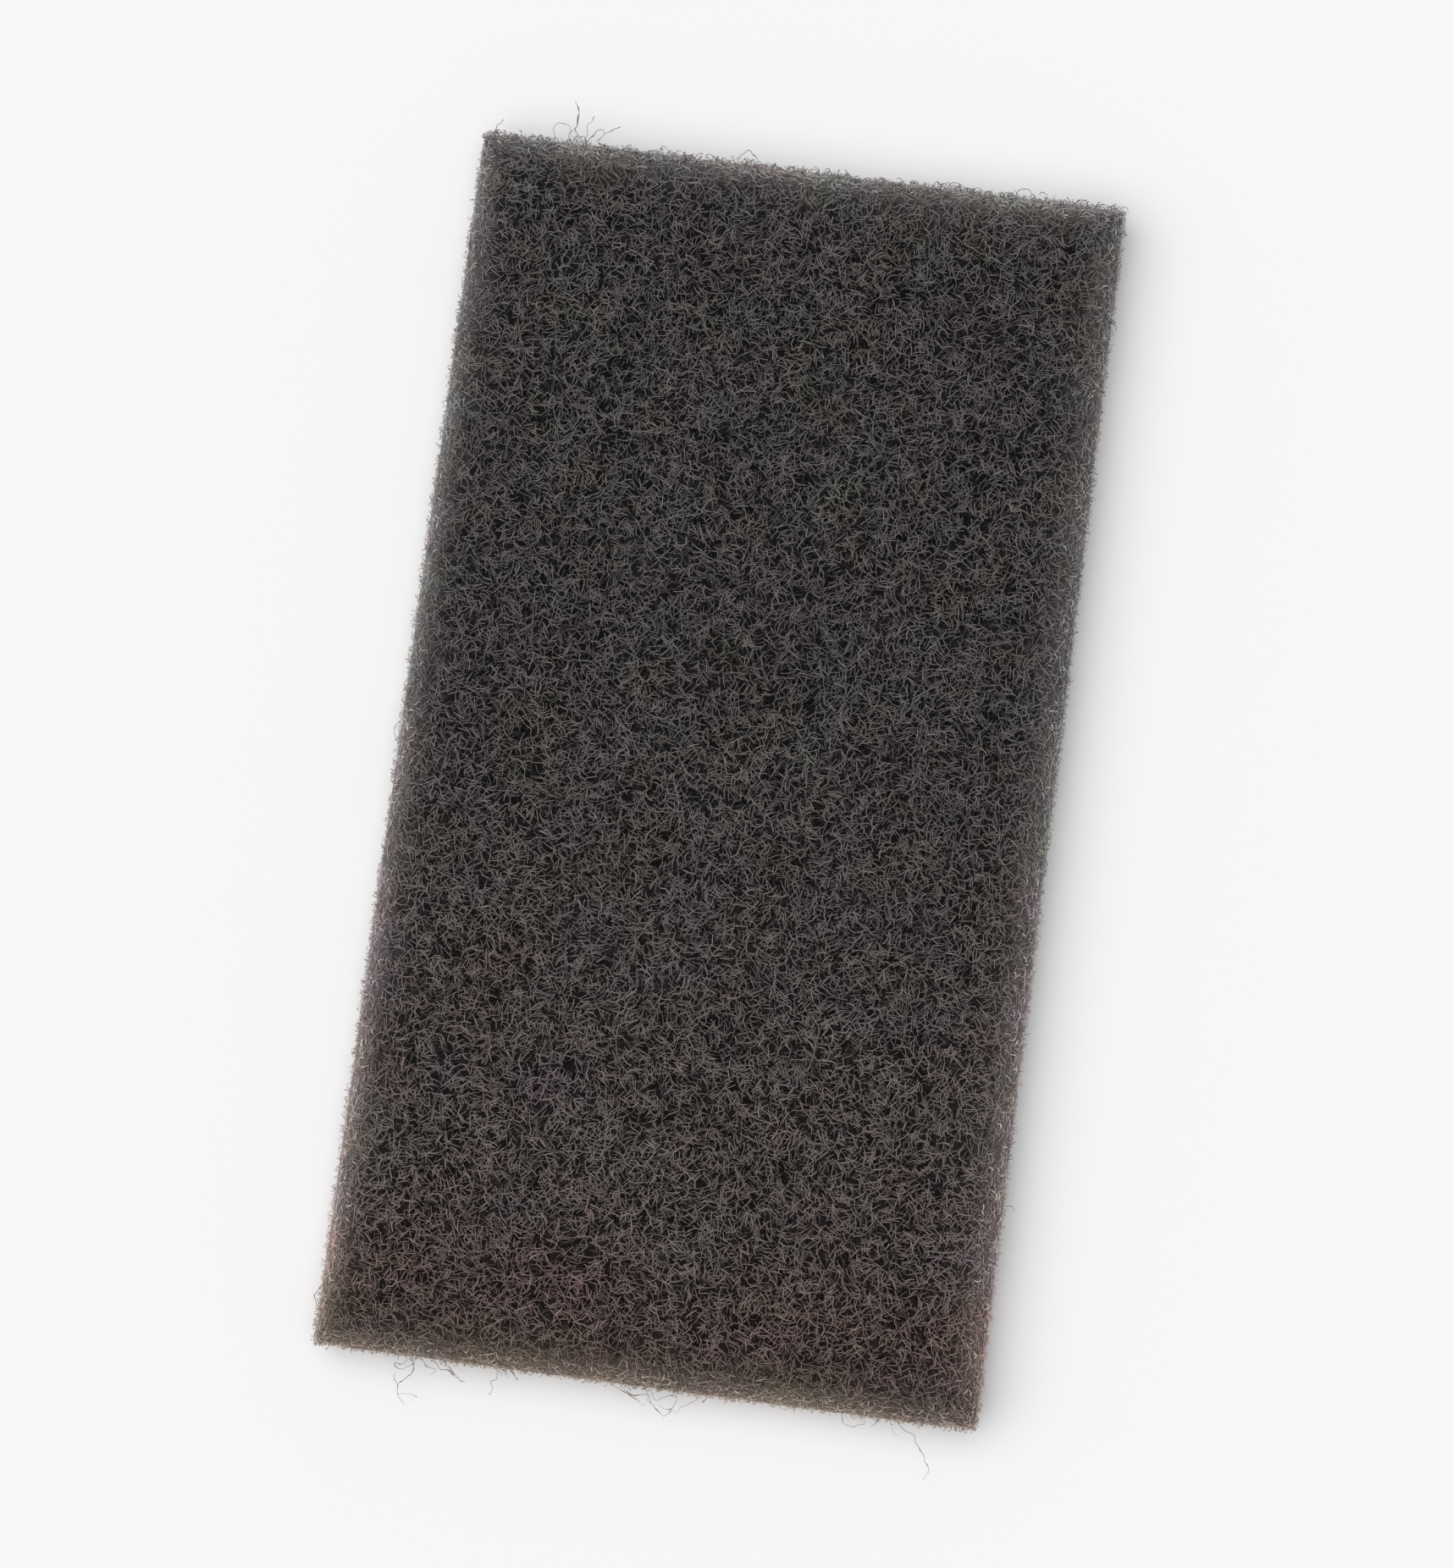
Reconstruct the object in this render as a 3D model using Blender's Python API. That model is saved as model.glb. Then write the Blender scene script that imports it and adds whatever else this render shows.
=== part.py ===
"""A non-woven abrasive hand pad, cut from a lofty web of crimped, resin-coated fibres.

The pad is one piece: a soft slab with softened cut edges and open pores all over. Here the web is
one closed solid. Fibre strands cross each face as ridges that meet the face's plane, and between
them each pore sinks to its own depth. A few pores are matted over and stay flat.

Units are metres, +Z is up. The origin is the middle of the face that the pad rests on, X runs
across its width and Y along its length.
"""

import math
import random

import bmesh
import bpy
from mathutils import Vector

# The cut slab
PAD_WIDTH = 0.080
PAD_LENGTH = 0.150
PAD_THICKNESS = 0.008
EDGE_SOFTENING = 0.0028  # how far the rounded cut edge reaches in over each face
EDGE_ROWS = 3  # rows of facets from a face's rim down to the middle of the cut edge
CORNER_PULL = 0.92  # share of the way out that a corner reaches, because corners wear round

# The open web on both faces
PORE_PITCH = 0.0050  # distance between the middles of neighbouring pores
PORE_SCATTER = 0.34  # how far a pore's middle strays, as a share of the pitch
PORE_DEPTH_LEAST = 0.0008
PORE_DEPTH_MOST = 0.0022
MATTED_SHARE = 0.12  # share of the pores that are matted over and stay flat
STRAND_SAG = 0.0003  # how far a crossing of strands may lie below the face's plane
SHORTEST_STRAND = 0.0004  # strands shorter than this close up to one crossing

# The cut edge, where the web is closed up by the knife
EDGE_PIT_DEPTH = 0.0004

WEB_SEED = 7
SAME_POINT = 1e-6
COLOUR = (0.044, 0.040, 0.038, 1.0)
ROUGHNESS = 0.85

TOP, UNDERSIDE = 1, -1


def clear_scene():
    for old in list(bpy.data.objects):
        bpy.data.objects.remove(old, do_unlink=True)


def face_half_size():
    """Half the width and half the length of the flat part of a face, inside its soft edge."""
    return PAD_WIDTH / 2 - EDGE_SOFTENING, PAD_LENGTH / 2 - EDGE_SOFTENING


def pore_middles(half_x, half_y, rng):
    """Middles of the pores: a triangular lattice with each point strayed a little."""
    row_pitch = PORE_PITCH * math.sqrt(3) / 2
    columns = math.ceil(half_x / PORE_PITCH) + 1
    rows = math.ceil(half_y / row_pitch) + 1
    stray = PORE_PITCH * PORE_SCATTER
    middles = []
    for row in range(-rows, rows + 1):
        shift = PORE_PITCH / 2 if row % 2 else 0.0
        for column in range(-columns, columns + 1):
            x = column * PORE_PITCH + shift + rng.uniform(-stray, stray)
            y = row * row_pitch + rng.uniform(-stray, stray)
            middles.append(Vector((x, y)))
    return middles


def nearer_part(outline, middle, other):
    """The part of a convex outline that lies nearer to middle than to other."""
    between = (middle + other) / 2
    away = other - middle
    kept = []
    for index, end in enumerate(outline):
        start = outline[index - 1]
        start_side = (start - between).dot(away)
        end_side = (end - between).dot(away)
        if start_side * end_side < 0:
            kept.append(start.lerp(end, start_side / (start_side - end_side)))
        if end_side <= 0:
            kept.append(end)
    return kept


def pore_outlines(half_x, half_y, rng):
    """The strands round each pore, as convex outlines that fill the face with no gap."""
    middles = pore_middles(half_x, half_y, rng)
    reach = 3 * PORE_PITCH
    outlines = []
    for middle in middles:
        outline = [
            Vector((-half_x, -half_y)),
            Vector((half_x, -half_y)),
            Vector((half_x, half_y)),
            Vector((-half_x, half_y)),
        ]
        for other in middles:
            if other is not middle and (other - middle).length < reach and outline:
                outline = nearer_part(outline, middle, other)
        if len(outline) >= 3:
            outlines.append(outline)
    return outlines


def strand_net(rng):
    """A flat mesh of the strand net over one face, one polygon for each pore."""
    half_x, half_y = face_half_size()
    net = bmesh.new()
    for outline in pore_outlines(half_x, half_y, rng):
        net.faces.new([net.verts.new((point.x, point.y, 0.0)) for point in outline])
    bmesh.ops.remove_doubles(net, verts=net.verts, dist=SHORTEST_STRAND)
    for vert in {vert for edge in net.edges if edge.is_boundary for vert in edge.verts}:
        vert.co = nearest_on_rim(vert.co)[0]
    return net


def nearest_on_rim(place):
    """The point of a face's rim that is nearest to a place, and the way out from there."""
    half = face_half_size()
    inside = [half[axis] - abs(place[axis]) for axis in (0, 1)]
    on_rim = place.copy()
    outward = Vector((0.0, 0.0, 0.0))
    for axis in (0, 1):
        if inside[axis] == min(inside) or inside[axis] < SHORTEST_STRAND:
            sign = math.copysign(1.0, place[axis])
            on_rim[axis] = sign * half[axis]
            outward[axis] = sign
    if outward.x and outward.y:
        outward *= CORNER_PULL
    return on_rim, outward


def soften_edge(shell, side):
    """Carries the rim of a face out and down to the middle of the cut edge, along a quarter ellipse."""
    rim = [edge for edge in shell.edges if edge.is_boundary]
    rim_verts = {vert for edge in rim for vert in edge.verts}
    start = {vert: nearest_on_rim(vert.co) for vert in rim_verts}
    faces = []
    for row in range(1, EDGE_ROWS + 1):
        turn = math.pi / 2 * row / EDGE_ROWS
        made = bmesh.ops.extrude_edge_only(shell, edges=rim)["geom"]
        moved = {}
        for vert in (item for item in made if isinstance(item, bmesh.types.BMVert)):
            neighbours = [edge.other_vert(vert) for edge in vert.link_edges]
            place, outward = next(start[old] for old in neighbours if old in start)
            vert.co = place + outward * EDGE_SOFTENING * math.sin(turn)
            vert.co.z = side * PAD_THICKNESS / 2 * math.cos(turn)
            moved[vert] = (place, outward)
        start = moved
        faces += [item for item in made if isinstance(item, bmesh.types.BMFace)]
        rim = [edge for edge in shell.edges if edge.is_boundary]
    return faces


def half_shell(net, side, rng):
    """One face of the pad with its half of the cut edge, measured from the pad's middle plane."""
    shell = net.copy()
    for vert in shell.verts:
        vert.co.z = side * PAD_THICKNESS / 2
    pores = list(shell.faces)
    edge_faces = soften_edge(shell, side)
    face_middle = Vector((0.0, 0.0, side * PAD_THICKNESS / 2))
    matted = {
        pore
        for pore in pores
        if rng.random() < MATTED_SHARE or bmesh.geometry.intersect_face_point(pore, face_middle)
    }
    open_pores = [pore for pore in pores if pore not in matted]
    for vert in shell.verts:
        if set(open_pores).issuperset(vert.link_faces):
            vert.co.z -= side * rng.uniform(0.0, STRAND_SAG)
    for middle in bmesh.ops.poke(shell, faces=open_pores)["verts"]:
        middle.co.z -= side * rng.uniform(PORE_DEPTH_LEAST, PORE_DEPTH_MOST)
    for middle in bmesh.ops.poke(shell, faces=edge_faces)["verts"]:
        outward = nearest_on_rim(middle.co)[1]
        middle.co -= outward * rng.uniform(0.0, EDGE_PIT_DEPTH)
    return shell


def make_pad():
    """The whole web as one closed mesh: two half shells, joined round the middle of the cut edge."""
    rng = random.Random(WEB_SEED)
    net = strand_net(rng)
    pad = bmesh.new()
    for side in (TOP, UNDERSIDE):
        half = half_shell(net, side, rng)
        half_mesh = bpy.data.meshes.new("half_shell")
        half.to_mesh(half_mesh)
        half.free()
        pad.from_mesh(half_mesh)
        bpy.data.meshes.remove(half_mesh)
    net.free()
    bmesh.ops.remove_doubles(pad, verts=pad.verts, dist=SAME_POINT)
    bmesh.ops.recalc_face_normals(pad, faces=pad.faces)
    bmesh.ops.translate(pad, verts=pad.verts, vec=(0.0, 0.0, PAD_THICKNESS / 2))
    mesh = bpy.data.meshes.new("abrasive_pad")
    pad.to_mesh(mesh)
    pad.free()
    return mesh


def coated_fibre():
    """The dull grit-and-resin coat of the fibres."""
    material = bpy.data.materials.new("coated_fibre")
    material.use_nodes = True
    surface = material.node_tree.nodes["Principled BSDF"]
    surface.inputs["Base Color"].default_value = COLOUR
    surface.inputs["Roughness"].default_value = ROUGHNESS
    surface.inputs["Metallic"].default_value = 0.0
    return material


def main():
    clear_scene()
    mesh = make_pad()
    mesh.materials.append(coated_fibre())
    pad = bpy.data.objects.new("abrasive_pad", mesh)
    bpy.context.scene.collection.objects.link(pad)


main()
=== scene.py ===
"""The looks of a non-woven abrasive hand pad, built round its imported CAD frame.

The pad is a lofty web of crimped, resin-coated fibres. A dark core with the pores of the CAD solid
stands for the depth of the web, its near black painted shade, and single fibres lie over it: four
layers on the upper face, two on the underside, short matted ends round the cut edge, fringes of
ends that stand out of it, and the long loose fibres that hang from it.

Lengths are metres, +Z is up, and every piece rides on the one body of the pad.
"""

import math

import bmesh
import bpy
from bpy.props import FloatProperty, FloatVectorProperty, IntProperty, PointerProperty
from mathutils import Matrix, Vector


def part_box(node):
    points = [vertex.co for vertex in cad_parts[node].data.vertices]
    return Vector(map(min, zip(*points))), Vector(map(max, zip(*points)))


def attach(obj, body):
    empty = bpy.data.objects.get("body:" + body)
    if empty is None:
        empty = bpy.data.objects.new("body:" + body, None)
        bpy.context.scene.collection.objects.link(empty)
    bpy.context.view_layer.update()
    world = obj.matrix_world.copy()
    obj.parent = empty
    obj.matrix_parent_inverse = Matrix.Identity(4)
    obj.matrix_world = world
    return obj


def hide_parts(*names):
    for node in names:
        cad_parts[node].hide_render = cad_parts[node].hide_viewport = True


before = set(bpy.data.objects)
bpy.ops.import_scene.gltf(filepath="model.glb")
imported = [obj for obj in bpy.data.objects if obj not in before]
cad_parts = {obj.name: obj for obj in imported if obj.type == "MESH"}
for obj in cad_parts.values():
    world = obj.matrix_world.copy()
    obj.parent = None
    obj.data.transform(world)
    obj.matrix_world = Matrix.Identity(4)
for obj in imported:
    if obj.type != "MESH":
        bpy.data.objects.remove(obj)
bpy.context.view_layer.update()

bl_info = {
    "name": "Abrasive pad builder",
    "version": (1, 0, 0),
    "blender": (4, 5, 0),
    "location": "3D View > Sidebar > Abrasive pad",
    "description": "Builds the fibre web of an abrasive hand pad and a plain studio for it",
    "category": "Object",
}

PAD_NODE = "abrasive_pad"
PAD_BODY = "root"
PAD_LOW, PAD_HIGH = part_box(PAD_NODE)
PAD_HALF = (PAD_HIGH - PAD_LOW) / 2
MID_HEIGHT = (PAD_LOW.z + PAD_HIGH.z) / 2
MM = 0.001

# The pad's outline
EDGE_SOFTENING = 2.8 * MM  # how far the rounded cut edge reaches in over each face
CORNER_ROUNDING = 0.5 * MM
CORNER_STEPS = 4  # facets of a rounded corner
SHORT_SIDE_STEPS, LONG_SIDE_STEPS = 16, 30
EDGE_STEPS = 16  # rows of facets from one face round the cut edge to the other
FACE_INSETS = (35 * MM, 24 * MM, 12 * MM, 6 * MM)  # rings of the skin's flat faces
PORE_MARGIN = 0.3 * MM  # least distance of a pore's bottom from the rounded edge
PORE_DROP = 0.4 * MM  # how much deeper it is than the points round it, at least

# The pale rim, where the knife closed the web, with painted light where light shines through it
RIM_FADE = 1.7 * MM  # distance over which its paleness falls to about a third
CUT_FADE = 0.5 * MM  # the same for the extra paleness of the cut itself
CUT_PALENESS = 0.28  # that extra paleness, where the rim's own is 1
RIM_WANDER = 1.6 * MM  # how far the pale rim wanders in and out
CORNER_BLEND = 1.5 * MM  # how far from a corner its two rims blend
# Stretch and shift make the rear rim the palest, and the left one paler than the right, as painted
# light from the left
RIM_STRETCH = (1.0, 1.0043, 1.0)
RIM_SHIFT = (-0.1 * MM, 0.275 * MM, 0.0)
GLINT = 0.35  # painted glints: how much the rim's paleness varies along a fibre
LEFT_GLINT = 0.70  # the same painted glints at the left edge, which faces the light

# The dye: where each tint sets in along the pad, where it is full and how far that sways, in mm,
# and whether it sets in and ends softly
DYE_ZONES = (
    ("Warm half", 12, -56, 24, False),
    ("Reddish end", -54, -65, 12, True),
    ("Olive edge", -65, -74.5, 9, True),
)

# Painted strands
STRAND_TURNS = (20, 97, 141, 58)  # directions in degrees
STRAND_SHIFT = (0.31, 0.17, 0.23)  # keeps the noise of one direction apart from the next
STRAND_DIMMING = 0.12  # how much dimmer each direction is than the last
STRAND_LEVELS = (0.615, 0.66)  # levels of the noise between which a strand sets in

# Fibres and their map
GRIT_SCALE = 2600.0  # how often a fibre's thickness and shade change along it, to the metre
SHADE_MAP = "OFBake"  # the map of a fibre's shade and of its place along the pad
TUBE_SIDES = 3
TUBE_RADIUS = 0.6  # share of a fibre's diameter, which makes a three-sided tube look as wide
MAP_SPREAD = 0.008  # width on the map that each face keeps, or nothing could be painted there
MAP_SCALE, SHADE_MARGIN, RUN_MARGIN = 0.96, 0.02, 0.015

# The studio, with the camera as solved from the corners of the pad in the photo
FLOOR_HALF = 3.0
KEY_TINT = (1.0, 0.992, 0.984)
SKY_TINT = (0.985, 1.0, 1.03)
CAMERA_AIM = (0.37 * MM, -1.70 * MM, 4.0 * MM)
CAMERA_DISTANCE = 0.53846
CAMERA_TILT = math.radians(7.262)  # from straight above
CAMERA_HEADING = math.radians(17.437)
CAMERA_ROLL = math.radians(7.513)
FOCAL_PIXELS = 5244.4
PHOTO_HEIGHT = 1852.0
SENSOR = 36.0

# Kinds of values in the panel
LENGTH = {"subtype": "DISTANCE", "unit": "LENGTH", "precision": 5}
SHARE = {"min": 0.0, "max": 1.0, "subtype": "FACTOR"}
COLOUR = {"size": 3, "min": 0.0, "max": 1.0, "subtype": "COLOR"}
TINT = {"size": 3, "min": 0.0, "max": 2.0, "subtype": "COLOR"}


# Sizes and colours that a user would change


class PadFibreSettings(bpy.types.PropertyGroup):
    """Sizes of a single fibre."""

    diameter: FloatProperty(
        name="Fibre diameter",
        description="Thickness of a fibre with its coat of resin and grit",
        default=0.000088,
        min=0.00005,
        **LENGTH,
    )
    bend_radius: FloatProperty(
        name="Bend radius",
        description="Usual radius of a fibre's crimps",
        default=0.0013,
        min=0.0002,
        **LENGTH,
    )
    lumpiness: FloatProperty(
        name="Lumpiness",
        description="How much the coat of grit thickens and thins along a fibre",
        default=0.50,
        **SHARE,
    )


class PadWebSettings(bpy.types.PropertyGroup):
    """How closely the fibres lie, and how deep the web is."""

    face_triangles: FloatProperty(
        name="Triangles on a layer",
        description="Triangles of fibre in each square metre of one layer over the upper face",
        default=13700000.0,
        min=0.0,
    )
    under_triangles: FloatProperty(
        name="Triangles on an underside layer",
        description="Triangles of fibre in each square metre of one layer under the pad",
        default=4900000.0,
        min=0.0,
    )
    edge_fibres: FloatProperty(
        name="Fibres on the cut edge",
        description="Short fibres in each square metre of the cut edge",
        default=1000000.0,
        min=0.0,
    )
    fringe_fibres: FloatProperty(
        name="Fringe fibres",
        description="Fibre ends that stand out from each square metre of the cut edge",
        default=858000.0,
        min=0.0,
    )
    rear_fibres: FloatProperty(
        name="Rear fringe fibres",
        description="Small curls in each square metre of the rear edge",
        default=726000.0,
        min=0.0,
    )
    core_depth: FloatProperty(
        name="Core depth",
        description="Depth of the dark core under the fibres of a face",
        default=0.0010,
        min=0.0,
        **LENGTH,
    )
    core_inset: FloatProperty(
        name="Core inset",
        description="Distance of the dark core from the cut edge",
        default=0.0002,
        min=0.0,
        **LENGTH,
    )
    matted_width: FloatProperty(
        name="Matted width",
        description="Width of the band round the cut edge where the fibres lie matted on the core",
        default=0.0050,
        min=0.001,
        **LENGTH,
    )
    seed: IntProperty(
        name="Seed",
        description="Start of the random draws, so that the web is the same each time",
        default=11,
    )


class PadColourSettings(bpy.types.PropertyGroup):
    """Colours of the coated fibres, some of which carry painted shade and painted rim light."""

    shaded: FloatVectorProperty(
        name="Shaded fibre",
        description="Colour of the darkest fibres",
        default=(0.012, 0.0110, 0.0107),
        **COLOUR,
    )
    fibre: FloatVectorProperty(
        name="Fibre",
        description="Colour of most fibres",
        default=(0.174, 0.158, 0.1555),
        **COLOUR,
    )
    # Partly the matted cut and partly painted light shining through the rim
    matted_lit_fibre: FloatVectorProperty(
        name="Matted lit rim fibre",
        description="Colour of fibres near the cut edge",
        default=(0.27, 0.25, 0.243),
        **COLOUR,
    )
    # Painted light where light shines through the cut, with the matted cut's own paleness
    pale: FloatVectorProperty(
        name="Pale fibre end",
        description="Colour of the palest fibre ends, right at the cut",
        default=(0.575, 0.546, 0.535),
        **COLOUR,
    )
    # Painted shade: the near black seen deep in the web between the core's strands
    depth: FloatVectorProperty(
        name="Painted shade of the web",
        description="Colour between the strands of the core",
        default=(0.004, 0.0037, 0.0037),
        **COLOUR,
    )
    warm_half: FloatVectorProperty(
        name="Warm half",
        description="Tint that the colours of the front half take on, by multiplying",
        default=(1.42, 1.28, 1.24),
        **TINT,
    )
    reddish_end: FloatVectorProperty(
        name="Reddish end",
        description="Tint of the last two centimetres before the front edge",
        default=(1.46, 1.17, 1.11),
        **TINT,
    )
    olive_edge: FloatVectorProperty(
        name="Olive edge",
        description="Tint of the last millimetres at the front edge",
        default=(1.05, 0.91, 0.78),
        **TINT,
    )


class PadStageSettings(bpy.types.PropertyGroup):
    """Floor, light and camera of the studio."""

    floor: FloatVectorProperty(
        name="Floor",
        description="Colour of the floor and of the background",
        default=(0.938, 0.939, 0.940),
        **COLOUR,
    )
    sky_share: FloatProperty(
        name="Sky share",
        description="Share of the light that comes evenly from all sides",
        default=0.30,
        **SHARE,
    )
    key_tilt: FloatProperty(
        name="Key tilt",
        description="Angle of the key light from straight above",
        default=math.radians(20.0),
        subtype="ANGLE",
    )
    key_heading: FloatProperty(
        name="Key heading",
        description="Direction that the key light comes from, turned from the pad's left side",
        default=math.radians(18.0),
        subtype="ANGLE",
    )
    key_spread: FloatProperty(
        name="Key spread",
        description="Angle that the key light fills, seen from the pad",
        default=math.radians(85.0),
        subtype="ANGLE",
    )


# Building blocks of node trees


class Value:
    """An output of a node. Python's own arithmetic with it adds the nodes that work it out."""

    def __init__(self, tree, socket):
        self.tree, self.socket = tree, socket

    def __add__(self, other):
        return calc("ADD", self, other)

    def __sub__(self, other):
        return calc("SUBTRACT", self, other)

    def __rsub__(self, other):
        return calc("SUBTRACT", other, self)

    def __mul__(self, other):
        return calc("MULTIPLY", self, other)

    def __truediv__(self, other):
        return calc("DIVIDE", self, other)

    def __rtruediv__(self, other):
        return calc("DIVIDE", other, self)

    def __pow__(self, other):
        return calc("POWER", self, other)

    def __gt__(self, other):
        return calc("GREATER_THAN", self, other)

    def __lt__(self, other):
        return calc("LESS_THAN", self, other)


def open_socket(sockets, key):
    """The socket at an index, or the usable one of that name, as a node may hide others."""
    if isinstance(key, int):
        return sockets[key]
    return next(socket for socket in sockets if socket.name == key and socket.enabled)


def add(tree, kind, sockets=None, **settings):
    """Adds a node, makes its settings, and gives its inputs their constants or links."""
    node = tree.nodes.new(kind)
    node.location = (170 * (len(tree.nodes) % 12), -190 * (len(tree.nodes) // 12))
    for name, value in settings.items():
        setattr(node, name, value)
    for key, value in (sockets or {}).items():
        socket = open_socket(node.inputs, key)
        if isinstance(value, Value):
            tree.links.new(value.socket, socket)
        else:
            socket.default_value = value
    return node


def get(tree, node, key):
    return Value(tree, open_socket(node.outputs, key))


def made(tree, kind, key, sockets=None, **settings):
    """Adds a node, and returns one of its outputs."""
    return get(tree, add(tree, kind, sockets, **settings), key)


def link(value, socket):
    value.tree.links.new(value.socket, socket)


def tree_of(*values):
    return next(value.tree for value in values if isinstance(value, Value))


def is_vector(value):
    if isinstance(value, Value):
        return value.socket.type in ("VECTOR", "RGBA")
    return isinstance(value, tuple)


def calc(operation, *values, clamp=False):
    """One step of arithmetic with numbers, or with vectors where there are any."""
    tree = tree_of(*values)
    sockets = dict(enumerate(values))
    vectors = sum(is_vector(value) for value in values)
    if not vectors:
        settings = {"operation": operation, "use_clamp": clamp}
        return made(tree, "ShaderNodeMath", 0, sockets, **settings)
    if operation == "MULTIPLY" and vectors == 1:
        operation, sockets = "SCALE", {0: values[0], "Scale": values[1]}
    node = add(tree, "ShaderNodeVectorMath", sockets, operation=operation)
    return Value(tree, next(socket for socket in node.outputs if socket.enabled))


def most(*values):
    """The greatest of some numbers."""
    found = values[0]
    for value in values[1:]:
        found = calc("MAXIMUM", found, value)
    return found


def vector_of(*values):
    """A vector from its X, Y and Z, which are 0 where none is given."""
    return made(tree_of(*values), "ShaderNodeCombineXYZ", 0, dict(enumerate(values)))


def parts(vector):
    """X, Y and Z of a vector."""
    node = add(vector.tree, "ShaderNodeSeparateXYZ", {0: vector})
    return [get(vector.tree, node, axis) for axis in range(3)]


def ranged(value, low, high, to_low=0.0, to_high=1.0, smooth=False):
    """A value carried from one range to another, and held inside it."""
    kind = "SMOOTHSTEP" if smooth else "LINEAR"
    sockets = {0: value, 1: low, 2: high, 3: to_low, 4: to_high}
    return made(value.tree, "ShaderNodeMapRange", 0, sockets, interpolation_type=kind)


def mixed(factor, first, second, kind="RGBA", **settings):
    """A blend of two colours, or of two numbers where kind is FLOAT."""
    tree, sockets = tree_of(factor, first, second), {"Factor": factor, "A": first, "B": second}
    return made(tree, "ShaderNodeMix", "Result", sockets, data_type=kind, **settings)


def noise(vector, scale, detail=0.0, output="Fac"):
    sockets = {"Vector": vector, "Scale": scale, "Detail": detail}
    return made(vector.tree, "ShaderNodeTexNoise", output, sockets, noise_dimensions="3D")


def wavering(vector, scale, detail=0.0):
    """Noise about 0, mostly between -0.25 and 0.25."""
    return noise(vector, scale, detail) - 0.5


def vector_wavering(vector, scale, detail=0.0):
    """The same noise for each of X, Y and Z."""
    return noise(vector, scale, detail, "Color") - (0.5, 0.5, 0.5)


def rim_distance(place):
    """How far a place on the pad lies inside its outline."""
    x, y, _ = parts(calc("ABSOLUTE", place))
    return calc("SMOOTH_MIN", PAD_HALF.x - x, PAD_HALF.y - y, CORNER_BLEND)


def rim_paleness(place):
    """Paleness of the rim, partly its matted cut and partly painted light: 1, and the cut's own
    extra, at the cut edge, falling to 0.
    """
    wander = wavering(place, 240.0, 1.0) * RIM_WANDER
    away = most(rim_distance(place * RIM_STRETCH + RIM_SHIFT) + wander, 0.0)
    wide, narrow = (calc("EXPONENT", away * (-1.0 / fade)) for fade in (RIM_FADE, CUT_FADE))
    return calc("MULTIPLY_ADD", narrow, CUT_PALENESS, wide)


def new_tree(name, kind, inputs, outputs):
    """An empty node group with named sockets, its inputs' values and its output node's sockets."""
    tree = bpy.data.node_groups.new(name, kind)
    for in_out, sockets in (("INPUT", inputs), ("OUTPUT", outputs)):
        for label, socket_type, *default in sockets:
            socket = tree.interface.new_socket(name=label, in_out=in_out, socket_type=socket_type)
            if default:
                socket.default_value = default[0]
    given = add(tree, "NodeGroupInput").outputs
    given = {socket.name: Value(tree, socket) for socket in given}
    return tree, given, add(tree, "NodeGroupOutput").inputs


# Shader node groups


def dye_drift_group():
    """Tint of the dye over the pad: patches of hue, and three tints towards the front in turn."""
    white = (1.0, 1.0, 1.0, 1.0)
    sockets = [("Vector", "NodeSocketVector")]
    sockets += [(name, "NodeSocketColor", white) for name, *_ in DYE_ZONES]
    sockets += [("Patches", "NodeSocketFloat", 0.20)]
    outputs = [("Tint", "NodeSocketColor")]
    _, given, result = new_tree("Dye drift", "ShaderNodeTree", sockets, outputs)
    place = given["Vector"]
    patches = vector_wavering(place, 135.0, 1.5) * given["Patches"] + (1.0, 1.0, 1.0)
    along = parts(place)[1]
    sway = wavering(place, 60.0, 2.0)
    tint = white
    for name, start, end, swayed, soft in DYE_ZONES:
        reach = calc("MULTIPLY_ADD", sway, swayed * MM, along)
        tint = mixed(ranged(reach, start * MM, end * MM, smooth=soft), tint, given[name])
    link(tint * patches, result["Tint"])


def grit_group():
    """The abrasive grains in the resin coat: their height, and how dull they leave the surface."""
    sockets = [("Vector", "NodeSocketVector"), ("Grain size", "NodeSocketFloat", 0.1 * MM)]
    outputs = [("Height", "NodeSocketFloat"), ("Roughness", "NodeSocketFloat")]
    tree, given, result = new_tree("Grit coat", "ShaderNodeTree", sockets, outputs)
    place, scale = given["Vector"], 1.0 / given["Grain size"]
    cells = {"Vector": place, "Scale": scale, "Randomness": 1.0}
    grains = made(tree, "ShaderNodeTexVoronoi", "Distance", cells)
    resin = noise(place, scale * 0.3, 2.0)
    link(calc("SUBTRACT", 1.0, grains, clamp=True) + resin * 0.5, result["Height"])
    link(ranged(resin, 0.3, 0.7, 0.72, 0.95), result["Roughness"])


def deep_strands_group():
    """Fibres too deep and too fine to model: short winding strokes in several directions."""
    sockets = [
        ("Vector", "NodeSocketVector"),
        ("Stroke length", "NodeSocketFloat", 2.0 * MM),
        ("Stroke width", "NodeSocketFloat", 0.32 * MM),
        ("Bend", "NodeSocketFloat", 1.0 * MM),
    ]
    outputs = [("Strand", "NodeSocketFloat")]
    tree, given, result = new_tree("Deep strands", "ShaderNodeTree", sockets, outputs)
    along = 1.0 / given["Stroke length"]
    across = 1.0 / given["Stroke width"]
    stretch = vector_of(along, across, across)
    strands = []
    for layer, turn in enumerate(STRAND_TURNS):
        place = given["Vector"] + tuple(layer * part for part in STRAND_SHIFT)
        place = place + vector_wavering(place, along * 0.9, 1.0) * given["Bend"]
        turned = {"Vector": place, "Angle": math.radians(turn)}
        place = made(tree, "ShaderNodeVectorRotate", 0, turned, rotation_type="Z_AXIS")
        line = ranged(noise(place * stretch, 1.0), *STRAND_LEVELS)
        strands.append(line * (1.0 - STRAND_DIMMING * layer))
    link(most(*strands), result["Strand"])


def group_node(tree, name, sockets):
    return add(tree, "ShaderNodeGroup", sockets, node_tree=bpy.data.node_groups[name])


# Materials


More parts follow.
